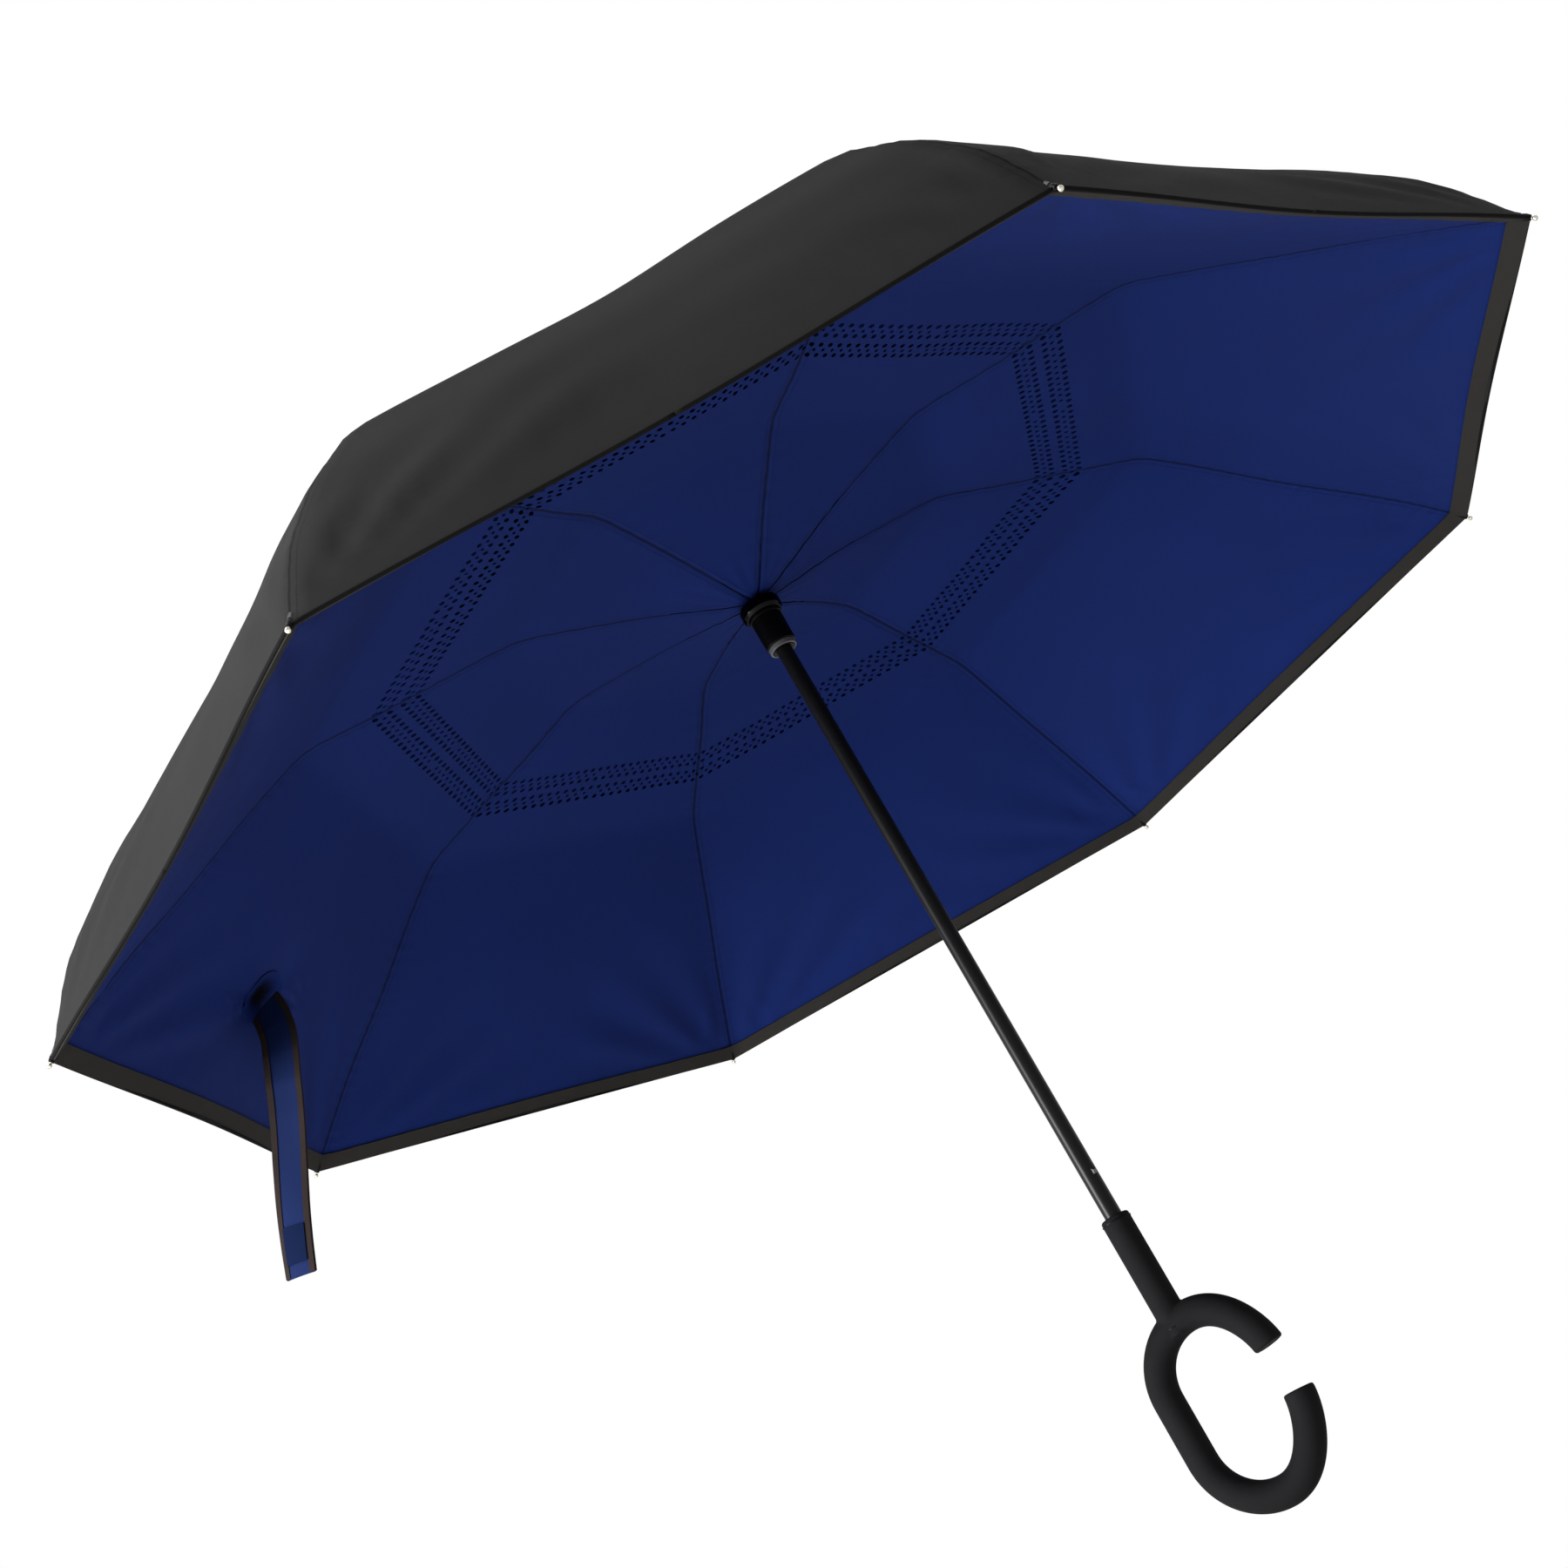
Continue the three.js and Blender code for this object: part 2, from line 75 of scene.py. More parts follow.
def make_camera():
    place = Vector((-0.5014, 1.2952, -0.0104))
    ahead = Vector((0.36339, -0.85678, 0.36590)).normalized()
    roll = math.radians(29.51)
    level = ahead.cross(Vector((0, 0, 1))).normalized()
    up = level.cross(ahead) * math.cos(roll) + level * math.sin(roll)
    right = ahead.cross(up)
    data = bpy.data.cameras.new("camera")
    data.lens = 52.58
    data.sensor_width = 36
    camera = bpy.data.objects.new("camera", data)
    camera.matrix_world = Matrix.Translation(place) @ Matrix((right, up, -ahead)).transposed().to_4x4()
    scene.collection.objects.link(camera)
    scene.camera = camera


def area_light(name, place, aim, size, power):
    data = bpy.data.lights.new(name, "AREA")
    data.shape = "DISK"
    data.size = size
    data.energy = power
    light = bpy.data.objects.new(name, data)
    light.location = place
    light.rotation_euler = (Vector(aim) - Vector(place)).to_track_quat("-Z", "Y").to_euler()
    scene.collection.objects.link(light)


def make_studio():
    world = bpy.data.worlds.new("studio")
    world.use_nodes = True
    sky = world.node_tree.nodes["Background"]
    sky.inputs["Color"].default_value = (1, 1, 1, 1)
    sky.inputs["Strength"].default_value = 1.0
    scene.world = world
    scene.view_settings.view_transform = "Standard"
    area_light("key", (1.6, 1.6, 0.35), (0, 0, 0.6), 0.9, 175)
    area_light("top", (0.6, 1.2, 2.2), (0, 0, 0.7), 0.8, 60)
    mesh = bpy.data.meshes.new("floor")
    h = FLOOR_HALF
    corners = [(-h, -h, FLOOR_Z), (h, -h, FLOOR_Z), (h, h, FLOOR_Z), (-h, h, FLOOR_Z)]
    mesh.from_pydata(corners, [], [(0, 1, 2, 3)])
    floor = bpy.data.objects.new("floor", mesh)
    scene.collection.objects.link(floor)
    material = bpy.data.materials.new("floor")
    material.use_nodes = True
    shader = material.node_tree.nodes["Principled BSDF"]
    shader.inputs["Base Color"].default_value = (0.86, 0.86, 0.86, 1)
    shader.inputs["Roughness"].default_value = 0.7
    mesh.materials.append(material)


make_camera()
make_studio()


# ---- materials ----
class Nodes:
    """A small builder for one material's nodes."""

    def __init__(self, name):
        self.material = bpy.data.materials.new(name)
        self.material.use_nodes = True
        self.tree = self.material.node_tree
        self.shader = self.tree.nodes["Principled BSDF"]

    def add(self, kind, **settings):
        node = self.tree.nodes.new(kind)
        for key, value in settings.items():
            setattr(node, key, value)
        return node

    def link(self, source, target):
        self.tree.links.new(source, target)

    def math(self, operation, a, b=None):
        node = self.add("ShaderNodeMath", operation=operation)
        for i, value in enumerate((a, b)):
            if value is None:
                continue
            if isinstance(value, (int, float)):
                node.inputs[i].default_value = value
            else:
                self.link(value, node.inputs[i])
        return node.outputs[0]

    def noise(self, scale, detail=3, vector=None):
        node = self.add("ShaderNodeTexNoise")
        node.inputs["Scale"].default_value = scale
        node.inputs["Detail"].default_value = detail
        if vector is None:
            vector = self.add("ShaderNodeTexCoord").outputs["Object"]
        self.link(vector, node.inputs["Vector"])
        return node.outputs["Fac"]

    def mix(self, factor, dark, light):
        node = self.add("ShaderNodeMix", data_type="RGBA")
        self.link(factor, node.inputs["Factor"])
        for socket, value in (("A", dark), ("B", light)):
            target = next(s for s in node.inputs if s.name == socket and s.type == "RGBA")
            if isinstance(value, (tuple, list)):
                target.default_value = (*value, 1)
            else:
                self.link(value, target)
        return next(s for s in node.outputs if s.type == "RGBA")

    def band(self, value, low, high):
        """0 below low and 1 above high, smooth between."""
        node = self.add("ShaderNodeMapRange", interpolation_type="SMOOTHSTEP")
        self.link(value, node.inputs["Value"])
        node.inputs["From Min"].default_value = low
        node.inputs["From Max"].default_value = high
        return node.outputs["Result"]

    def bump(self, height, distance, strength=1.0, onto=None):
        node = self.add("ShaderNodeBump")
        node.inputs["Strength"].default_value = strength
        node.inputs["Distance"].default_value = distance
        self.link(height, node.inputs["Height"])
        if onto is not None:
            self.link(onto, node.inputs["Normal"])
        return node.outputs["Normal"]

    def finish(self, color=None, normal=None, roughness=None, **values):
        if color is not None:
            self.link(color, self.shader.inputs["Base Color"])
        if normal is not None:
            self.link(normal, self.shader.inputs["Normal"])
        if roughness is not None:
            self.link(roughness, self.shader.inputs["Roughness"])
        for key, value in values.items():
            self.shader.inputs[key.replace("_", " ")].default_value = value
        return self.material


def scaled(color, factor):
    return tuple(channel * factor for channel in color)


def cloth_material(name, color, sheen, roughness=0.75, thread=0.5 * MM, seam=True):
    """Plain-weave cloth. The UV map holds metres across and along, and the seam runs along u = 0."""
    n = Nodes(name)
    uv = n.add("ShaderNodeSeparateXYZ")
    n.link(n.add("ShaderNodeTexCoord").outputs["UV"], uv.inputs[0])
    turn = 2 * math.pi / thread
    warp = n.math("SINE", n.math("MULTIPLY", uv.outputs["X"], turn))
    weft = n.math("SINE", n.math("MULTIPLY", uv.outputs["Y"], turn))
    weave = n.math("MULTIPLY", warp, weft)
    patch = n.noise(9, 4)
    fine = n.noise(420, 2)
    base = n.mix(patch, scaled(color, 0.84), scaled(color, 1.16))
    base = n.mix(n.math("MULTIPLY", fine, 0.35), base, scaled(color, 0.7))
    normal = n.bump(weave, 0.06 * MM, 0.6)
    normal = n.bump(n.noise(70, 3), 0.5 * MM, 0.35, normal)
    if seam:
        aside = n.math("ABSOLUTE", uv.outputs["X"])
        line = n.band(aside, 0.5 * MM, 1.5 * MM)
        base = n.mix(line, scaled(color, 0.30), base)
        row = n.band(n.math("ABSOLUTE", n.math("SUBTRACT", aside, 4 * MM)), 0.2 * MM, 0.6 * MM)
        stitch = n.math("SINE", n.math("MULTIPLY", uv.outputs["Y"], 2 * math.pi / (2.8 * MM)))
        gap = n.band(stitch, -0.5, -0.1)
        thread_up = n.math("MULTIPLY", n.math("SUBTRACT", 1, row), gap)
        base = n.mix(thread_up, base, scaled(color, 0.55))
        normal = n.bump(thread_up, 0.2 * MM, 0.5, normal)
    rough = n.math("ADD", n.math("MULTIPLY", patch, 0.12), roughness - 0.06)
    return n.finish(
        base, normal, rough, Sheen_Weight=sheen, Sheen_Roughness=0.5, Sheen_Tint=(*scaled(color, 4), 1),
        Specular_IOR_Level=0.035,
    )


def moulded_material(name, color, roughness, grain=0.03 * MM, coat=0.0, gloss=0.25):
    n = Nodes(name)
    base = n.mix(n.noise(40, 3), scaled(color, 0.9), scaled(color, 1.12))
    rough = n.math("ADD", n.math("MULTIPLY", n.noise(60, 3), 0.14), roughness - 0.07)
    normal = n.bump(n.noise(900, 3), grain, 0.5)
    return n.finish(base, normal, rough, Coat_Weight=coat, Coat_Roughness=0.08, Specular_IOR_Level=gloss)


def metal_material(name, color, roughness, grain=0.01 * MM, metallic=1.0, gloss=0.5):
    n = Nodes(name)
    stretch = n.add("ShaderNodeMapping")
    n.link(n.add("ShaderNodeTexCoord").outputs["Object"], stretch.inputs["Vector"])
    stretch.inputs["Scale"].default_value = (1, 1, 0.08)
    brushed = n.noise(1400, 3, stretch.outputs["Vector"])
    base = n.mix(n.noise(30, 3), scaled(color, 0.88), scaled(color, 1.08))
    rough = n.math("ADD", n.math("MULTIPLY", brushed, 0.16), roughness - 0.08)
    return n.finish(base, n.bump(brushed, grain, 0.4), rough, Metallic=metallic, Specular_IOR_Level=gloss)


NAVY = (0.0022, 0.0072, 0.050)
MATERIALS = {
    "black_cloth": cloth_material("black_cloth", (0.0082, 0.0082, 0.0082), 0.05),
    "navy_cloth": cloth_material("navy_cloth", NAVY, 0.01),
    "hem_cloth": cloth_material("hem_cloth", (0.0118, 0.0110, 0.0098), 0.02, seam=False),
    "strap_cloth": cloth_material("strap_cloth", (0.0024, 0.0062, 0.030), 0.01, seam=False),
    "binding": cloth_material("binding", (0.0095, 0.0066, 0.0062), 0.01, thread=0.7 * MM, seam=False),
    "hook_tape": cloth_material("hook_tape", (0.0008, 0.0030, 0.0150), 0.02, 0.9, 1.1 * MM, False),
    # hem_edge: five times darker than the black canopy cloth it is folded from; painted shade along the hem's
    # fold.
    "hem_edge": cloth_material("hem_edge", (0.0016, 0.0016, 0.0015), 0.0, seam=False),
    "grip_softtouch": moulded_material("grip_softtouch", (0.0044, 0.0043, 0.0047), 0.78, gloss=0.03),
    "black_plastic": moulded_material("black_plastic", (0.0006, 0.0006, 0.0007), 0.38, gloss=0.05),
    "gloss_plastic": moulded_material("gloss_plastic", (0.0004, 0.0004, 0.0005), 0.12, 0.005 * MM, 0.0, 0.05),
    "grey_collar": moulded_material("grey_collar", (0.040, 0.040, 0.042), 0.34, 0.01 * MM, 0.0, 0.15),
    "black_metal": metal_material("black_metal", (0.0035, 0.0035, 0.0038), 0.36, metallic=0.3, gloss=0.12),
    "bright_steel": metal_material("bright_steel", (0.10, 0.10, 0.105), 0.34),
    "tip_metal": metal_material("tip_metal", (0.46, 0.44, 0.37), 0.24),
    "fibreglass": moulded_material("fibreglass", (0.014, 0.014, 0.015), 0.30, 0.02 * MM, 0.3),
}


def own(obj, finish, body):
    """Gives a new piece its material and its CAD body."""
    obj.data.materials.append(MATERIALS[finish])
    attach(obj, body)
    return obj


def new_object(name, verts, faces, smooth=True):
    mesh = bpy.data.meshes.new(name)
    mesh.from_pydata([tuple(v) for v in verts], [], faces)
    mesh.validate()
    if smooth:
        mesh.shade_smooth()
    obj = bpy.data.objects.new(name, mesh)
    scene.collection.objects.link(obj)
    return obj


# ---- cloth lines: radius and height along a spoke, in millimetres ----
OUTER_LINE = [
    (6.5, 815.3), (17, 814.6), (100, 795), (200, 770), (250, 757), (288, 746), (355, 709), (392, 689),
    (416, 669), (450, 638.5), (473, 613), (495, 586.5), (512, 557), (524, 533),
]
LINING_LINE = [
    (9, 659.4), (16, 660.2), (71, 674), (125, 684.5), (150, 688.6), (160, 689.4), (170, 688.6), (216, 680.5),
    (254, 675), (298, 668.5), (311, 666.3), (320, 663.6), (330, 658.4), (362, 638.5), (405, 610), (465, 573),
    (524, 531.4),
]


class Line:
    """A smooth curve through a few (radius, height) points, measured by its length."""

    def __init__(self, points):
        pts = np.array(points, float) * MM
        ends = np.vstack([2 * pts[0] - pts[1], pts, 2 * pts[-1] - pts[-2]])
        fine = []
        for i in range(1, len(ends) - 2):
            a, b, c, d = ends[i - 1:i + 3]
            gap = np.linalg.norm(c - b)
            m0 = (c - a) / (np.linalg.norm(c - b) + np.linalg.norm(b - a)) * gap
            m1 = (d - b) / (np.linalg.norm(d - c) + np.linalg.norm(c - b)) * gap
            t = np.linspace(0, 1, 24, endpoint=False)[:, None]
            fine.append(
                (2 * t**3 - 3 * t**2 + 1) * b + (t**3 - 2 * t**2 + t) * m0
                + (3 * t**2 - 2 * t**3) * c + (t**3 - t**2) * m1
            )
        self.points = np.vstack([*fine, pts[-1:]])
        steps = np.linalg.norm(np.diff(self.points, axis=0), axis=1)
        self.lengths = np.concatenate([[0], np.cumsum(steps)])
        self.length = self.lengths[-1]

    def at(self, s):
        return np.interp(s, self.lengths, self.points[:, 0]), np.interp(s, self.lengths, self.points[:, 1])

    def reach(self, radius):
        """The length at which the line crosses a radius."""
        return float(np.interp(radius, self.points[:, 0], self.lengths))


OUTER = Line(OUTER_LINE)
LINING = Line(LINING_LINE)
HEM_SCOOP = 4 * MM
CLOTH = 0.35 * MM


def smooth(x):
    x = np.clip(x, 0, 1)
    return x * x * (3 - 2 * x)


def ripples(x, y, seed):
    """Slow unevenness of the cloth, between about -1 and 1, with period lengths of 60 to 200 mm."""
    total = 0
    for i in range(5):
        angle = 2.399 * (i + seed)
        kx, ky = math.cos(angle), math.sin(angle)
        wave = 2 * math.pi / (0.20 / (1 + 0.45 * i))
        total = total + np.sin(wave * (kx * x + ky * y) + 1.7 * (i + seed)) / (1 + 0.6 * i)
    return total / 2.2


def bare_surface(line, s, c, sag):
    """A point of a gore's half: s along the spoke's line, c from its seam (0) to the middle (1 or -1)."""
    r, z = line.at(s)
    side = np.abs(c)
    x = r * (1 + side * (math.cos(GORE) - 1) / 2)
    y = c * r * HALF_SPREAD
    bowl = np.sin(side * math.pi / 2) ** 2
    shape = smooth(s / (0.25 * line.length)) * bowl
    x = x - sag * shape * 0.4
    z = z - sag * shape
    rim = smooth((s / line.length - 0.72) / 0.28)
    x = x - HEM_SCOOP * bowl * rim
    return np.stack([x, y, z], -1)


def wrinkles(line, s, c, number, strength):
    """Height of the folds: puckers at the seam and the hem, and soft folds that fan out from the tip."""
    r, _ = line.at(s)
    aside = np.abs(c) * r * HALF_SPREAD
    to_hem = line.length - s
    sign = np.sign(c)
    pucker = 0.30 * MM * np.sin(2 * math.pi * s / (11 * MM) + number) * np.exp(-aside / (9 * MM))
    groove = -0.9 * MM * np.exp(-((aside / (2.2 * MM)) ** 2))
    angle = np.arctan2(aside, to_hem + 25 * MM)
    fan = np.sin(angle * 15 + number * 1.3 + sign * 0.8) * smooth(1 - to_hem / (190 * MM))
    fan = fan * smooth(aside / (14 * MM)) * smooth((1 - np.abs(c)) / 0.35) * 1.7 * MM
    fan = fan * smooth((to_hem - 6 * MM) / (45 * MM))
    edge = 0.35 * MM * np.sin(2 * math.pi * aside / (23 * MM) + number * sign) * np.exp(-to_hem / (30 * MM))
    edge = edge * smooth(aside / (8 * MM)) * smooth((1 - np.abs(c)) / 0.1) * smooth(to_hem / (22 * MM))
    hub = 0.3 * MM * np.sin(c * math.pi * 3) * smooth(1 - s / (90 * MM)) * smooth((s - 10 * MM) / (20 * MM))
    folds = pucker * smooth(to_hem / (20 * MM)) + fan + edge + hub
    return strength * folds + groove * smooth(to_hem / (12 * MM))


def turn_z(points, angle):
    ca, sa = math.cos(angle), math.sin(angle)
    return points @ np.array([[ca, sa, 0], [-sa, ca, 0], [0, 0, 1]])


class Layer:
    """One cloth layer: its line, how far the gores sag, and which way its face looks (1 up, -1 down)."""

    def __init__(self, line, sag, face, strength, seed):
        self.line, self.sag, self.face, self.strength, self.seed = line, sag, face, strength, seed

    def raw(self, s, c, number):
        return turn_z(bare_surface(self.line, s, c, self.sag), AZIMUTHS[number - 1])

    def normal_of(self, fn, s, c):
        ds, dc = 0.5 * MM, 0.004
        s = np.clip(s, 2 * ds, self.line.length - 2 * ds)
        along = fn(s + ds, c) - fn(s - ds, c)
        across = fn(s, np.minimum(c + dc, 1)) - fn(s, np.maximum(c - dc, -1))
        normal = np.cross(along, across)
        return normal / np.linalg.norm(normal, axis=-1, keepdims=True)

    def place(self, s, c, number):
        points = self.raw(s, c, number)
        normal = self.normal_of(lambda a, b: self.raw(a, b, number), s, c)
        height = wrinkles(self.line, s, c, number, self.strength)
        swell = ripples(points[..., 0], points[..., 1], self.seed) * 1.1 * MM * smooth(s / 0.1)
        swell = swell * smooth((self.line.length - s) / 0.06)
        height = height + swell + self.dents(points)
        return points + normal * (height * self.face)[..., None]

    def dents(self, points):
        return 0

    def normal(self, s, c, number):
        return self.normal_of(lambda a, b: self.place(a, b, number), s, c)


class LiningLayer(Layer):
    """The lining is drawn up round the slit that the strap comes out of."""

    def dents(self, points):
        away = np.linalg.norm(points - SLIT, axis=-1)
        rays = np.arctan2(points[..., 2] - SLIT[2], points[..., 0] - SLIT[0])
        pull = np.exp(-((away / (24 * MM)) ** 2))
        creases = 0.9 * MM * np.sin(rays * 7) * np.exp(-((away - 28 * MM) / (18 * MM)) ** 2)
        return -9 * MM * pull + creases


SLIT_R = 413 * MM
SLIT_AZIMUTH = GORE / 2
SLIT_ALONG = -1 * MM
SLIT = np.array([SLIT_R * math.cos(SLIT_AZIMUTH), SLIT_R * math.sin(SLIT_AZIMUTH), 584 * MM])
OUTER_LAYER = Layer(OUTER, 3 * MM, 1, 0.7, 3)
LINING_LAYER = LiningLayer(LINING, 0, -1, 1.0, 11)


# ---- petals: the part of a layer that belongs to one spoke, cut at the gores' middles ----
COLUMNS = 32


class Cells:
    """Polygons over a layer's (s, c) plane that share their corners."""

    def __init__(self):
        self.index = {}
        self.params = []
        self.faces = []

    def corner(self, s, c):
        key = (round(s, 7), round(c, 6))
        if key not in self.index:
            self.index[key] = len(self.params)
            self.params.append((s, c))
        return self.index[key]

    def polygon(self, corners):
        self.faces.append([self.corner(*p) for p in corners])

    def grid(self, rows, columns):
        for s0, s1 in zip(rows, rows[1:]):
            for c0, c1 in zip(columns, columns[1:]):
                self.polygon([(s0, c0), (s1, c0), (s1, c1), (s0, c1)])

    def vents(self, low, rows, marks, spread):
        """Rows of holes, each in a ring of eight faces that is two marks wide, or one mark aside if shifted."""
        for height, along, aside, shift in rows:
            s0, sm, s1 = low, low + height / 2, low + height
            low = s1
            if shift:
                for c0, c1 in (marks[:2], marks[-2:]):
                    self.polygon([(s0, c0), (sm, c0), (s1, c0), (s1, c1), (sm, c1), (s0, c1)])
            for j in range(shift, len(marks) - 2, 2):
                c0, cm, c1 = marks[j:j + 3]
                rim = [(s0, c0), (sm, c0), (s1, c0), (s1, cm), (s1, c1), (sm, c1), (s0, c1), (s0, cm)]
                if not along:
                    self.polygon(rim)
                    continue
                hole = []
                for k in range(8):
                    angle = math.pi * 1.25 - k * math.pi / 4
                    hole.append((sm + along * math.sin(angle), cm + aside / spread * math.cos(angle)))
                for k in range(8):
                    self.polygon([rim[k], rim[(k + 1) % 8], hole[(k + 1) % 8], hole[k]])


def rows_between(low, high, pitch):
    return list(np.linspace(low, high, max(2, int(round((high - low) / pitch)) + 1)))


def petal(name, layer, number, cells, lift=None, thickness=CLOTH):
    """A thin closed sheet over the cells. The layer's own normals let neighbours shade as one cloth."""
    params = np.array(cells.params)
    s, c = params[:, 0], params[:, 1]
    normals = layer.normal(s, c, number) * layer.face
    points = layer.place(s, c, number)
    if lift is not None:
        points = points - normals * lift(s, c)[:, None]
    count = len(points)
    verts = np.vstack([points, points - normals * thickness])
    faces = [list(f) if layer.face > 0 else list(reversed(f)) for f in cells.faces]
    edges = dict.fromkeys(edge for face in faces for edge in zip(face, face[1:] + face[:1]))
    walls = [(a, b) for a, b in edges if (b, a) not in edges]
    under = [[v + count for v in reversed(f)] for f in faces]
    sides = [[b, a, a + count, b + count] for a, b in walls]
    mesh = bpy.data.meshes.new(name)
    mesh.from_pydata(verts.tolist(), [], faces + under + sides)
    mesh.shade_smooth()
    uv = mesh.uv_layers.new(name="cloth")
    vertex = np.empty(len(mesh.loops), int)
    mesh.loops.foreach_get("vertex_index", vertex)
    r, _ = layer.line.at(s)
    across = np.concatenate([c * r * HALF_SPREAD] * 2)
    along = np.concatenate([s] * 2)
    uv.data.foreach_set("uv", np.stack([across[vertex], along[vertex]], -1).ravel())
    both = np.vstack([normals, -normals])
    loops = both[vertex]
    for polygon in mesh.polygons[len(faces) * 2:]:
        for loop in polygon.loop_indices:
            loops[loop] = polygon.normal
    mesh.normals_split_custom_set(loops.tolist())
    obj = bpy.data.objects.new(name, mesh)
    scene.collection.objects.link(obj)
    return obj


def gather(obj):
    """Gives the piece its own copy of its mesh."""
    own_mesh(obj)


def gore_area(line, low, high):
    s = np.linspace(low, high, 60)
    width = line.at(s)[0] * math.sin(GORE)
    return float(np.sum((width[1:] + width[:-1]) / 2 * np.diff(s)))


def declare(line, low, high):
    width = float(line.at(high)[0] * math.sin(GORE))
    length = high - low
    area = gore_area(line, low, high)
    area = min(max(area, 0.31 * width * length), width * length)


COLUMN_MARKS = list(np.linspace(-1, 1, COLUMNS + 1))
FINE_MARKS = list(np.linspace(-1, 1, 2 * COLUMNS + 1))
OUTER_J = OUTER.reach(JOINT_R + 12 * MM)
OUTER_K = OUTER.reach(BEND_R + 4 * MM)
LINING_J = LINING.reach(JOINT_R + 8 * MM)
LINING_K = LINING.reach(BEND_R - 12 * MM)
VENT_LOW = LINING.reach(234.5 * MM)
VENT_BIG = (5.6 * MM, 2.35 * MM, 1.75 * MM, 0)
VENT_SMALL = (5.6 * MM, 1.7 * MM, 1.2 * MM, 1)
VENT_ROWS = (VENT_BIG, VENT_SMALL, VENT_BIG, (4.6 * MM, 0, 0, 0), VENT_BIG, VENT_SMALL, VENT_BIG)
VENT_HIGH = VENT_LOW + sum(row[0] for row in VENT_ROWS)
VENT_COLUMNS = 52
VENT_MARKS = list(np.linspace(-1, 1, VENT_COLUMNS + 1))
FACING = 13 * MM
FACING_LAP = 4 * MM
OUTER_PITCH, LINING_PITCH, EDGE_PITCH = 7 * MM, 6 * MM, 5 * MM
OUTER_TUCK = 14 * MM
MIDDLE_TUCK, EDGE_TUCK = 54 * MM, 26 * MM


def flap(start, rise, length):
    """How far a hidden flap stands behind the cloth that it reaches under, before its own zone starts."""
    def lift(s, c):
        inside = np.clip(start - s, 0, None)
        return np.minimum(inside, 1.5 * MM) * 0.8 + rise * inside / length
    return lift


def outer_petals(number):
    zones = [
        ("inner", 0, OUTER_J, 0, 0, f"stretcher_{number}", 0.12),
        ("middle", OUTER_J, OUTER_K, OUTER_TUCK, 1 * MM, f"rod_{number}", 0.12),
        ("outer", OUTER_K, OUTER.length, OUTER_TUCK, 1 * MM, f"rod_end_{number}", 0.15),
    ]
    for zone, low, high, tuck, rise, body, keep in zones:
        cells = Cells()
        if tuck:
            cells.grid(rows_between(low - tuck, low, OUTER_PITCH), COLUMN_MARKS)
        cells.grid(rows_between(low, high, OUTER_PITCH), COLUMN_MARKS)
        lift = flap(low, rise, tuck) if tuck else None
        obj = petal(f"canopy_{zone}_{number}", OUTER_LAYER, number, cells, lift)
        own(obj, "black_cloth", body)
        gather(obj)
        declare(OUTER, low - tuck, high)
        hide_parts("outer_canopy")


def lining_petals(number):
    hem = LINING.length - FACING + FACING_LAP
    middle_low, outer_low = LINING_J - MIDDLE_TUCK, LINING_K - EDGE_TUCK
    inner, middle, outer = Cells(), Cells(), Cells()
    inner.grid(rows_between(0, VENT_LOW, OUTER_PITCH), VENT_MARKS)
    vent_r = LINING.at(VENT_LOW + 17 * MM)[0]
    inner.vents(VENT_LOW, VENT_ROWS, VENT_MARKS, float(vent_r * HALF_SPREAD))
    inner.grid(rows_between(VENT_HIGH, LINING_J, OUTER_PITCH), VENT_MARKS)
    middle.grid(rows_between(middle_low, LINING_J, LINING_PITCH), COLUMN_MARKS)
    middle.grid(rows_between(LINING_J, LINING_K, LINING_PITCH), COLUMN_MARKS)
    outer.grid(rows_between(outer_low, LINING_K, LINING_PITCH), COLUMN_MARKS)
    outer.grid(rows_between(LINING_K, hem, EDGE_PITCH), COLUMN_MARKS)
    middle_flap = flap(LINING_J, 14 * MM, MIDDLE_TUCK)
    outer_flap = flap(LINING_K, 2 * MM, EDGE_TUCK)
    zones = [
        ("inner", inner, 0, LINING_J, None, f"rib_{number}", 0.34),
        ("middle", middle, middle_low, LINING_K, middle_flap, f"rod_{number}", 0.28),
        ("outer", outer, outer_low, hem, outer_flap, f"rod_end_{number}", 0.19),
    ]
    for zone, cells, low, high, lift, body, keep in zones:
        obj = petal(f"lining_{zone}_{number}", LINING_LAYER, number, cells, lift)
        own(obj, "navy_cloth", body)
        gather(obj)
        declare(LINING, low, high)
        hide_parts("lining")


def hem_facing(number):
    """The outer canopy's hem, turned in over the lining's edge. The rolled fold along the rim comes from
    hem_roll.
    """
    low = LINING.length - FACING
    cells = Cells()
    cells.grid(rows_between(low, LINING.length, 3 * MM), FINE_MARKS)
    name = f"hem_facing_{number}"
    obj = petal(name, LINING_LAYER, number, cells, lambda s, c: np.full_like(s, -1.1 * MM), 0.7 * MM)
    own(obj, "hem_cloth", f"rod_end_{number}")
    gather(obj)
    declare(LINING, low, LINING.length)


def tube(points, radius, sides, name):
    """A closed tube along a list of points, with its ends left flat."""
    pts = [Vector(p) for p in points]
    verts, faces = [], []
    guide = Vector((0, 0, 1))
    for i, p in enumerate(pts):
        ahead = (pts[min(i + 1, len(pts) - 1)] - pts[max(i - 1, 0)]).normalized()
        across = ahead.cross(guide).normalized()
        up = across.cross(ahead)
        for k in range(sides):
            angle = 2 * math.pi * k / sides
            verts.append(p + (across * math.cos(angle) + up * math.sin(angle)) * radius)
    for i in range(len(pts) - 1):
        for k in range(sides):
            a, b = i * sides + k, i * sides + (k + 1) % sides
            faces.append((a, b, b + sides, a + sides))
    faces.append(tuple(reversed(range(sides))))
    faces.append(tuple(range(len(verts) - sides, len(verts))))
    return new_object(name, verts, faces)


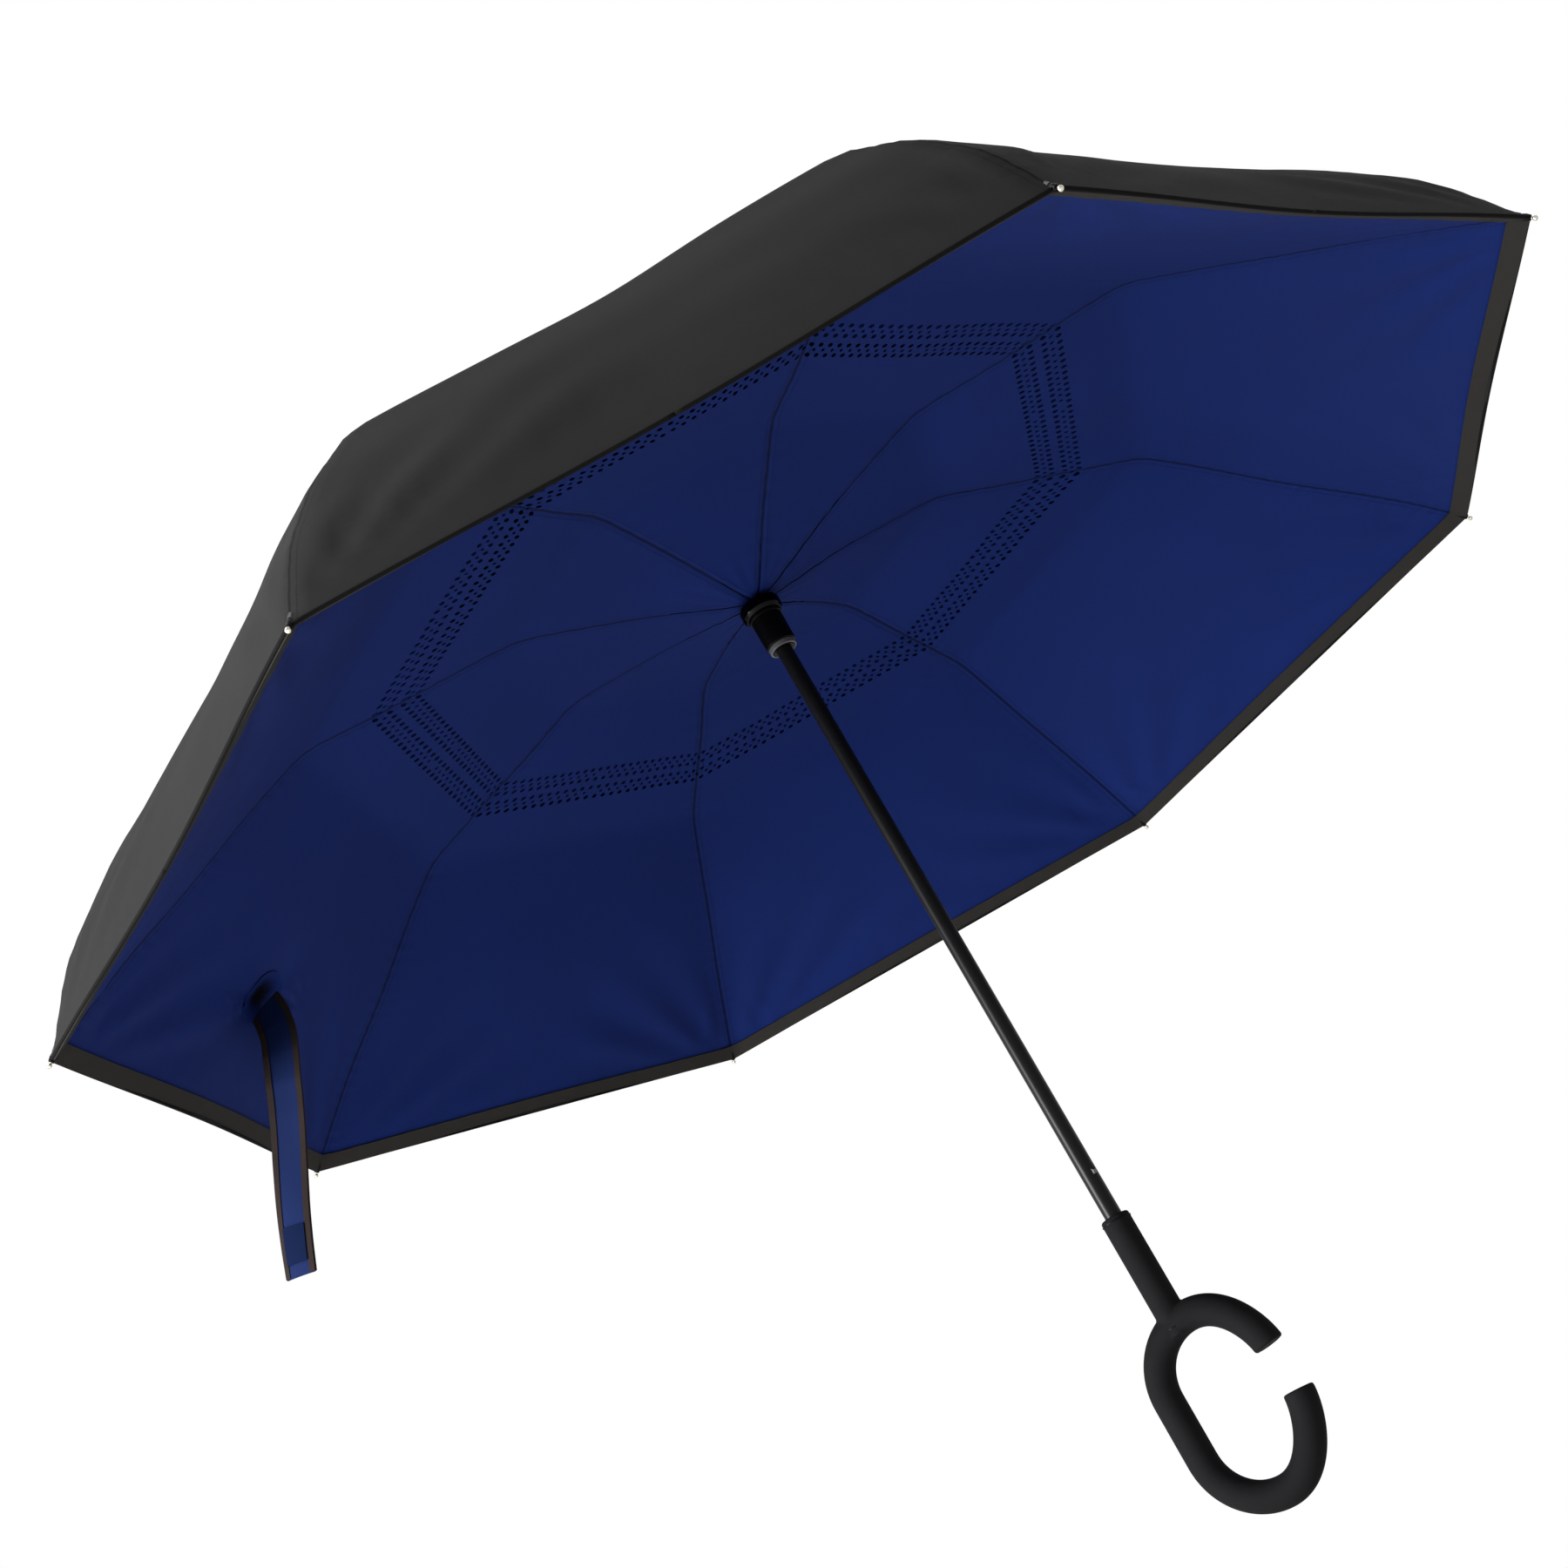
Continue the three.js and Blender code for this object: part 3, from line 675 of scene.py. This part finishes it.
def hem_roll(number):
    c = np.linspace(-1, 1, 65)
    s = np.full_like(c, LINING.length)
    outer_s = np.full_like(c, OUTER.length)
    points = (LINING_LAYER.place(s, c, number) + OUTER_LAYER.place(outer_s, c, number)) / 2
    # The roll's near-black finish is painted shade along the fold of the hem.
    obj = tube(points.tolist(), 1.2 * MM, 8, f"hem_roll_{number}")
    own(obj, "hem_edge", f"rod_end_{number}")
    gather(obj)


# ---- turned and swept solids ----
def turned(name, profile, sides=64, ring=False):
    """A solid of revolution about Z. Its (radius, height) profile ends on the axis, or closes as a ring."""
    verts, faces, rows = [], [], []
    for r, z in profile:
        if r < 1e-7:
            rows.append([len(verts)] * sides)
            verts.append((0, 0, z))
            continue
        rows.append(list(range(len(verts), len(verts) + sides)))
        for k in range(sides):
            angle = 2 * math.pi * k / sides
            verts.append((r * math.cos(angle), r * math.sin(angle), z))
    pairs = list(zip(rows, rows[1:]))
    if ring:
        pairs.append((rows[-1], rows[0]))
    for low, high in pairs:
        for k in range(sides):
            n = (k + 1) % sides
            face = list(dict.fromkeys((low[k], low[n], high[n], high[k])))
            if len(face) > 2:
                faces.append(face)
    return new_object(name, verts, faces)


def rounded(corners, steps=5):
    """A profile's corners, each given as (radius, height, rounding), turned into arcs."""
    out = []
    count = len(corners)
    for i, (r, z, fillet) in enumerate(corners):
        here = Vector((r, z))
        if not fillet or i in (0, count - 1):
            out.append((r, z))
            continue
        before = (Vector(corners[i - 1][:2]) - here).normalized()
        after = (Vector(corners[i + 1][:2]) - here).normalized()
        half = before.angle(after) / 2
        reach = fillet / math.tan(half)
        start, end = here + before * reach, here + after * reach
        centre = here + (before + after).normalized() * (fillet / math.sin(half))
        a0, a1 = start - centre, end - centre
        turn = a0.angle_signed(a1)
        for k in range(steps + 1):
            angle = -turn * k / steps
            c, s = math.cos(angle), math.sin(angle)
            out.append((centre.x + a0.x * c - a0.y * s, centre.y + a0.x * s + a0.y * c))
    return out


def mm_profile(corners):
    return rounded([(r * MM, z * MM, fillet * MM) for r, z, fillet in corners])


def crease(obj, angle=35):
    """Keeps the sharp edges sharp and shades the rest smooth."""
    obj.data.shade_smooth()
    obj.data.set_sharp_from_angle(angle=math.radians(angle))
    return obj


def cubic(a, b, c, d, count):
    t = np.linspace(0, 1, count)[:, None]
    a, b, c, d = (np.array(p, float) for p in (a, b, c, d))
    return a * (1 - t) ** 3 + 3 * b * t * (1 - t) ** 2 + 3 * c * t**2 * (1 - t) + d * t**3


# ---- the C handle ----
GRIP_R, LOOP_R, LOOP_X, LOOP_FOOT, LOOP_TOP = 9.5, 36.5, -8, 9.5, 119.5
UPPER_LIP, LOWER_LIP = (-43, 82), (-44, 53.5)
ROUND = 0.5523
BACK_X = LOOP_X + LOOP_R
BACK_TOP, BACK_FOOT = LOOP_TOP - LOOP_R, LOOP_FOOT + LOOP_R


def handle_line():
    """The loop's middle line in the XZ plane, from the upper lip over the back to the lower lip."""
    k = ROUND * LOOP_R
    top, foot = (LOOP_X, LOOP_TOP), (LOOP_X, LOOP_FOOT)
    back_top, back_foot = (BACK_X, BACK_TOP), (BACK_X, BACK_FOOT)
    over_lip = (UPPER_LIP[0] + 1.5, UPPER_LIP[1] + 14)
    under_lip = (LOWER_LIP[0] + 0.5, LOWER_LIP[1] - 16)
    parts = [
        cubic(UPPER_LIP, over_lip, (LOOP_X - 22, LOOP_TOP), top, 40),
        cubic(top, (LOOP_X + k, LOOP_TOP), (BACK_X, BACK_TOP + k), back_top, 32),
        cubic(back_top, (BACK_X, 70), (BACK_X, 59), back_foot, 12),
        cubic(back_foot, (BACK_X, BACK_FOOT - k), (LOOP_X + k, LOOP_FOOT), foot, 32),
        cubic(foot, (LOOP_X - 22, LOOP_FOOT), under_lip, LOWER_LIP, 40),
    ]
    line = np.vstack([part[:-1] for part in parts] + [parts[-1][-1:]])
    return line * MM


def swept_grip(name, line, radius, sides=40, lip=1.2 * MM):
    """A round bar along a line in the XZ plane, with its two flat ends' edges rounded over."""
    steps = np.linalg.norm(np.diff(line, axis=0), axis=1)
    length = np.concatenate([[0], np.cumsum(steps)])
    total = length[-1]
    verts, rows = [], []
    stations = [(0, 0.0)]
    for k in range(1, 6):
        angle = k * math.pi / 10
        stations.append((lip * (1 - math.cos(angle)), radius - lip + lip * math.sin(angle)))
    stations[1:1] = [(0, radius - lip)]
    marks = stations + [(s, radius) for s in length[1:-1] if lip * 1.5 < s < total - lip * 1.5]
    marks += [(total - s, r) for s, r in reversed(stations)]
    for s, r in marks:
        x, z = np.interp(s, length, line[:, 0]), np.interp(s, length, line[:, 1])
        d = 0.5 * MM
        a, b = max(s - d, 0), min(s + d, total)
        x0, z0 = np.interp(a, length, line[:, 0]), np.interp(a, length, line[:, 1])
        x1, z1 = np.interp(b, length, line[:, 0]), np.interp(b, length, line[:, 1])
        along = Vector((x1 - x0, 0, z1 - z0)).normalized()
        out = Vector((0, 1, 0)).cross(along)
        if r == 0:
            rows.append([len(verts)] * sides)
            verts.append((x, 0, z))
            continue
        rows.append(list(range(len(verts), len(verts) + sides)))
        for k in range(sides):
            angle = 2 * math.pi * k / sides
            p = Vector((x, 0, z)) + (out * math.cos(angle) + Vector((0, 1, 0)) * math.sin(angle)) * r
            verts.append(tuple(p))
    faces = []
    for low, high in zip(rows, rows[1:]):
        for k in range(sides):
            n = (k + 1) % sides
            face = list(dict.fromkeys((low[k], high[k], high[n], low[n])))
            if len(face) > 2:
                faces.append(face)
    return new_object(name, verts, faces)


def weld(obj, voxel, smooth_steps):
    """Joins overlapping solids of one mesh into one skin with soft inner corners."""
    remesh = obj.modifiers.new("weld", "REMESH")
    remesh.mode = "VOXEL"
    remesh.voxel_size = voxel
    soften = obj.modifiers.new("soften", "SMOOTH")
    soften.iterations = smooth_steps
    soften.factor = 0.5
    graph = bpy.context.evaluated_depsgraph_get()
    mesh = bpy.data.meshes.new_from_object(obj.evaluated_get(graph))
    obj.modifiers.clear()
    obj.data = mesh
    mesh.shade_smooth()
    return obj


def merged(name, objects):
    """One object from several, with their meshes side by side."""
    verts, faces = [], []
    for obj in objects:
        start = len(verts)
        verts += [v.co.copy() for v in obj.data.vertices]
        faces += [[start + i for i in p.vertices] for p in obj.data.polygons]
        bpy.data.objects.remove(obj)
    return new_object(name, verts, faces)


def make_handle():
    loop = swept_grip("handle_loop", handle_line(), GRIP_R * MM)
    stem = turned("handle_stem", mm_profile([
        (0, 112, 0), (9.2, 112, 0), (9.2, 190, 1.4), (6.4, 190, 0.5), (6.4, 186.5, 0), (0, 186.5, 0),
    ]))
    handle = weld(merged("handle_grip", [loop, stem]), 0.75 * MM, 6)
    own(handle, "grip_softtouch", "root")
    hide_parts("handle")
    for z in (117, 186.8):
        ring = turned(f"handle_parting_{int(z)}", mm_profile([
            (9.30, z - 0.25, 0), (9.62, z - 0.25, 0.1), (9.62, z + 0.25, 0.1), (9.30, z + 0.25, 0),
        ]), 64, True)
        own(ring, "black_plastic", "root")


# ---- the shaft, its catches and the runner ----
def cut(obj, tools):
    for tool in tools:
        knife = obj.modifiers.new("cut", "BOOLEAN")
        knife.operation = "DIFFERENCE"
        knife.solver = "EXACT"
        knife.object = tool
    graph = bpy.context.evaluated_depsgraph_get()
    mesh = bpy.data.meshes.new_from_object(obj.evaluated_get(graph))
    obj.modifiers.clear()
    obj.data = mesh
    for tool in tools:
        bpy.data.objects.remove(tool)
    return obj


def slot_tool(azimuth, low, high, width, start=1.5 * MM, depth=12 * MM):
    """A block with round ends that cuts one wall of the tube."""
    sides = 12
    outline = []
    r = width / 2
    for k in range(sides + 1):
        angle = math.pi * k / sides
        outline.append((r * math.cos(angle), high - r + r * math.sin(angle)))
    for k in range(sides + 1):
        angle = math.pi + math.pi * k / sides
        outline.append((r * math.cos(angle), low + r + r * math.sin(angle)))
    out = Vector((math.cos(azimuth), math.sin(azimuth), 0))
    across = Vector((-out.y, out.x, 0))
    verts = []
    for reach in (start, depth):
        verts += [tuple(out * reach + across * w + Vector((0, 0, z))) for w, z in outline]
    n = len(outline)
    faces = [tuple(range(n)), tuple(reversed(range(n, 2 * n)))]
    faces += [(i, i + n, (i + 1) % n + n, (i + 1) % n) for i in range(n)]
    return new_object("knife", verts, faces, False)


def make_shaft():
    tube_solid = turned("shaft_wall", mm_profile([
        (4.4, 150, 0), (5.5, 150, 0), (5.5, 824, 0.3), (4.4, 824, 0),
    ]), 96, True)
    tools = [
        slot_tool(math.radians(150), 204.6 * MM, 226.4 * MM, 4.6 * MM),
        slot_tool(math.radians(330), 625.6 * MM, 638.4 * MM, 4.6 * MM),
    ]
    cut(tube_solid, tools)
    crease(tube_solid, 30)
    own(tube_solid, "black_metal", "root")
    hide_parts("shaft_tube")


def make_covers():
    """The runner's sleeve, ring, boss and rim, and the cap."""
    sleeve = turned("runner_tube", mm_profile([
        (8.2, 622.4, 0.2), (10.6, 622.4, 0.8), (10.9, 647, 0), (8.2, 647, 0),
    ]), 80, True)
    own(crease(sleeve), "black_plastic", "runner")
    collar = turned("runner_ring", mm_profile([
        (8.3, 618.9, 0.2), (9.5, 618.9, 0.5), (9.5, 622.2, 0), (8.3, 622.2, 0),
    ]), 80, True)
    own(crease(collar, 50), "grey_collar", "runner")
    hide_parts("runner_collar")
    flange = turned("runner_boss", mm_profile([
        (8.1, 647.3, 0), (12.6, 647.3, 0.9), (14.6, 650, 2.2), (14.6, 656.2, 2.8), (10.2, 658.8, 1.2),
        (8.1, 658.8, 0),
    ]), 96, True)
    own(crease(flange, 50), "gloss_plastic", "runner")
    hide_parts("runner_flange")
    rim = turned("runner_rim", mm_profile([
        (11.0, 644.6, 0.1), (11.9, 644.6, 0.4), (12.3, 647.0, 0.4), (11.0, 647.0, 0.1),
    ]), 80, True)
    own(crease(rim, 50), "black_plastic", "runner")
    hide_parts("runner_sleeve")
    cap = turned("cap_button", mm_profile([
        (0, 817.2, 0), (15.2, 816.6, 1.0), (16, 818.6, 0.8), (15.2, 820.4, 1.4), (9, 823.4, 2.0),
        (6.8, 828.9, 1.4), (5.4, 829.9, 0.8), (0, 829.9, 0),
    ]), 96)
    own(crease(cap, 50), "black_plastic", "root")
    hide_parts("top_cap")


TIP_R, TIP_Z = 525 * MM, 530.5 * MM
TIP_AIM = (0.0725, 0, -0.0745)
TIP_BACK = 3


def make_tip(number):
    """A pale pin with a small head, in a black cup that holds the canopy's corner at the rod's end."""
    azimuth = AZIMUTHS[number - 1]
    aim = Vector(TIP_AIM).normalized()
    profile = mm_profile([
        (0, -TIP_BACK, 0), (0.8, -TIP_BACK, 0.2), (0.8, 0.4, 0.3), (1.55, 1.2, 0.5), (1.6, 2.4, 0.6),
        (1.0, 3.2, 0.5), (0, 3.4, 0),
    ])
    pin = turned(f"tip_pin_{number}", profile, 24)
    turn = Vector((0, 0, 1)).rotation_difference(aim).to_matrix().to_4x4()
    place = Matrix.Rotation(azimuth, 4, "Z") @ Matrix.Translation((TIP_R, 0, TIP_Z)) @ turn
    pin.data.transform(place)
    own(crease(pin, 50), "tip_metal", f"rod_end_{number}")
    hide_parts(f"tip_{number}")
    cup = turned(f"tip_cup_{number}", mm_profile([
        (0, -8, 0), (2.0, -8, 0.5), (2.3, -3.4, 0.8), (1.8, -0.6, 0.4), (0.9, -0.4, 0), (0, -0.4, 0),
    ]), 24)
    cup.data.transform(place)
    own(crease(cup, 50), "black_plastic", f"rod_end_{number}")


# The strap's middle line (radius, height), how its width turns in degrees along it, and how far its face
# stands off the middle of its gore in millimetres.
STRAP_LINE = [
    (417.5, 586), (415.5, 580), (413.5, 568), (413.5, 554), (417.5, 535), (426, 506), (438.5, 474),
    (448, 448), (455, 426), (461, 405),
]
STRAP_TURN = [0, 0, 3, 6, 9, 12, 15, 18, 20, 22]
STRAP_STAND = [-9, 0, 6.5, 10, 10.5, 9.2, 8.8, 8.8, 8.8, 8.8]
STRAP_HALF = 12.3 * MM
PATCH_HALF = 8.6 * MM
STRAP = Line(STRAP_LINE)


def strap_point(t, across, out):
    """A point on the strap: t along it, across its width, and out from its face."""
    s = np.clip(t, 0, 1) * STRAP.length
    x, z = STRAP.at(s)
    x1, z1 = STRAP.at(min(s + 4 * MM, STRAP.length))
    x0, z0 = STRAP.at(max(s - 4 * MM, 0))
    size = math.hypot(x1 - x0, z1 - z0)
    side = Vector(((z0 - z1) / size, 0, (x1 - x0) / size))
    marks = np.linspace(0, 1, len(STRAP_TURN))
    turn = math.radians(float(np.interp(t, marks, STRAP_TURN)))
    stand = float(np.interp(t, marks, STRAP_STAND)) * MM
    face = Vector((0, 1, 0))
    width = side * math.cos(turn) + face * math.sin(turn) * -1
    away = face * math.cos(turn) + side * math.sin(turn)
    local = Vector((x, stand, z)) + width * across + away * out
    return Matrix.Rotation(SLIT_AZIMUTH, 3, "Z") @ local


def strap_wave(t, w):
    return 0.5 * MM * math.sin(t * 9 + w * 60) + 0.9 * MM * (w / STRAP_HALF) ** 2 * math.sin(t * 5)


def strap_band(name, start, end, low, high, out, thickness, finish, steps=70, columns=10):
    """A closed strip of the strap between two edges and two lengths."""
    verts, faces = [], []
    sides = 2 * (columns + 1)
    for i in range(steps + 1):
        t = start + (end - start) * i / steps
        for k in range(columns + 1):
            w = low + (high - low) * k / columns
            verts.append(strap_point(t, w, out + strap_wave(t, w)))
        for k in reversed(range(columns + 1)):
            w = low + (high - low) * k / columns
            verts.append(strap_point(t, w, out + strap_wave(t, w) - thickness))
    for i in range(steps):
        for k in range(sides):
            a, b = i * sides + k, i * sides + (k + 1) % sides
            faces.append((a, b, b + sides, a + sides))
    for i, flip in ((0, True), (steps, False)):
        for k in range(columns):
            cap = [i * sides + k, i * sides + k + 1, (i + 1) * sides - 2 - k, (i + 1) * sides - 1 - k]
            faces.append(tuple(reversed(cap)) if flip else tuple(cap))
    obj = new_object(name, verts, faces)
    mesh = obj.data
    uv = mesh.uv_layers.new(name="cloth")
    for loop in mesh.loops:
        i, k = divmod(loop.vertex_index, sides)
        k = min(k, sides - 1 - k)
        uv.data[loop.index].uv = (low + (high - low) * k / columns, i / steps * STRAP.length * (end - start))
    crease(obj, 40)
    return own(obj, finish, "strap")


def make_strap():
    web = strap_band("strap_web", 0, 1, -STRAP_HALF, STRAP_HALF, 0, 0.9 * MM, "strap_cloth")
    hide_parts("strap")
    for side in (-1, 1):
        edge = sorted((side * (STRAP_HALF + 0.4 * MM), side * (STRAP_HALF - 3.8 * MM)))
        name = "strap_edge_in" if side < 0 else "strap_edge_out"
        strap_band(name, 0.004, 0.997, *edge, 0.55 * MM, 2.0 * MM, "binding", 90, 3)
    patch = strap_band(
        "hook_patch", 0.83, 0.955, -PATCH_HALF, PATCH_HALF, 1.3 * MM, 1.2 * MM, "hook_tape", 12, 10,
    )
    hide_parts("strap_patch")


def slit_point(along, aside, lift):
    """A point on the lining near the strap's slit, across the seamless middle of gore 1."""
    spoke, c = (1, -1) if aside >= 0 else (2, 1)
    middle_s = LINING.reach(SLIT_R / math.cos(GORE / 2))
    half = LINING.at(middle_s)[0] * HALF_SPREAD
    s = np.array([middle_s + along])
    c = np.array([c + aside / half])
    point = LINING_LAYER.place(s, c, spoke)
    return (point - LINING_LAYER.normal(s, c, spoke) * lift)[0]


def slit_material():
    """Painted shade at the slit: near-black in the middle, fading into the lining's own blue."""
    n = Nodes("slit_shade")
    away = n.add("ShaderNodeVectorMath", operation="DISTANCE")
    n.link(n.add("ShaderNodeTexCoord").outputs["Object"], away.inputs[0])
    away.inputs[1].default_value = slit_point(SLIT_ALONG, 0, 0)
    reach = n.math("ADD", away.outputs["Value"], n.math("MULTIPLY", n.noise(160, 3), 5 * MM))
    # Painted shade: near-black at the slit's middle, fading to the lining's blue between 6 and 21 mm out.
    base = n.mix(n.band(reach, 6 * MM, 21 * MM), (0.0001, 0.0002, 0.001), scaled(NAVY, 0.9))
    return n.finish(base, n.bump(n.noise(300, 3), 0.4 * MM, 0.5), Roughness=0.9, Specular_IOR_Level=0.03)


def make_slit():
    """A thin disc over the lining round the opening that the strap comes out of, carrying painted shade."""
    MATERIALS["slit_shade"] = slit_material()
    rings, sides = 5, 40
    verts = []
    for level in (0.9 * MM, 0.3 * MM):
        verts.append(slit_point(SLIT_ALONG, 0, level))
        for r in range(1, rings + 1):
            for k in range(sides):
                angle = 2 * math.pi * k / sides
                reach = r / rings
                aside = 19 * MM * reach * math.sin(angle)
                verts.append(slit_point(SLIT_ALONG + 20 * MM * reach * math.cos(angle), aside, level))
    count = 1 + rings * sides
    faces = []
    for base, flip in ((0, True), (count, False)):
        for k in range(sides):
            n = (k + 1) % sides
            fan = [(base, base + 1 + k, base + 1 + n)]
            for r in range(rings - 1):
                a = base + 1 + r * sides
                fan.append((a + k, a + sides + k, a + sides + n, a + n))
            faces += [tuple(reversed(f)) if flip else f for f in fan]
    last = 1 + (rings - 1) * sides
    for k in range(sides):
        here, ahead = last + k, last + (k + 1) % sides
        faces.append((here, ahead, ahead + count, here + count))
    obj = new_object("slit_painted_shade", verts, faces)
    own(crease(obj, 60), "slit_shade", "rod_end_1")
    gather(obj)


def finish_nodes():
    """Every part of the frame that still shows gets its own finish."""
    slots = {part["node"]: part["material_slot"] for part in frame["record"]["subparts"]}
    for node, slot in slots.items():
        obj = bpy.data.objects.get(node)
        if obj is None or obj.hide_render:
            continue
        obj.data.materials.clear()
        obj.data.materials.append(MATERIALS[slot])


for spoke in range(1, SPOKES + 1):
    outer_petals(spoke)
    lining_petals(spoke)
    hem_facing(spoke)
    hem_roll(spoke)
    make_tip(spoke)
make_handle()
make_shaft()
make_covers()
make_strap()
make_slit()
finish_nodes()
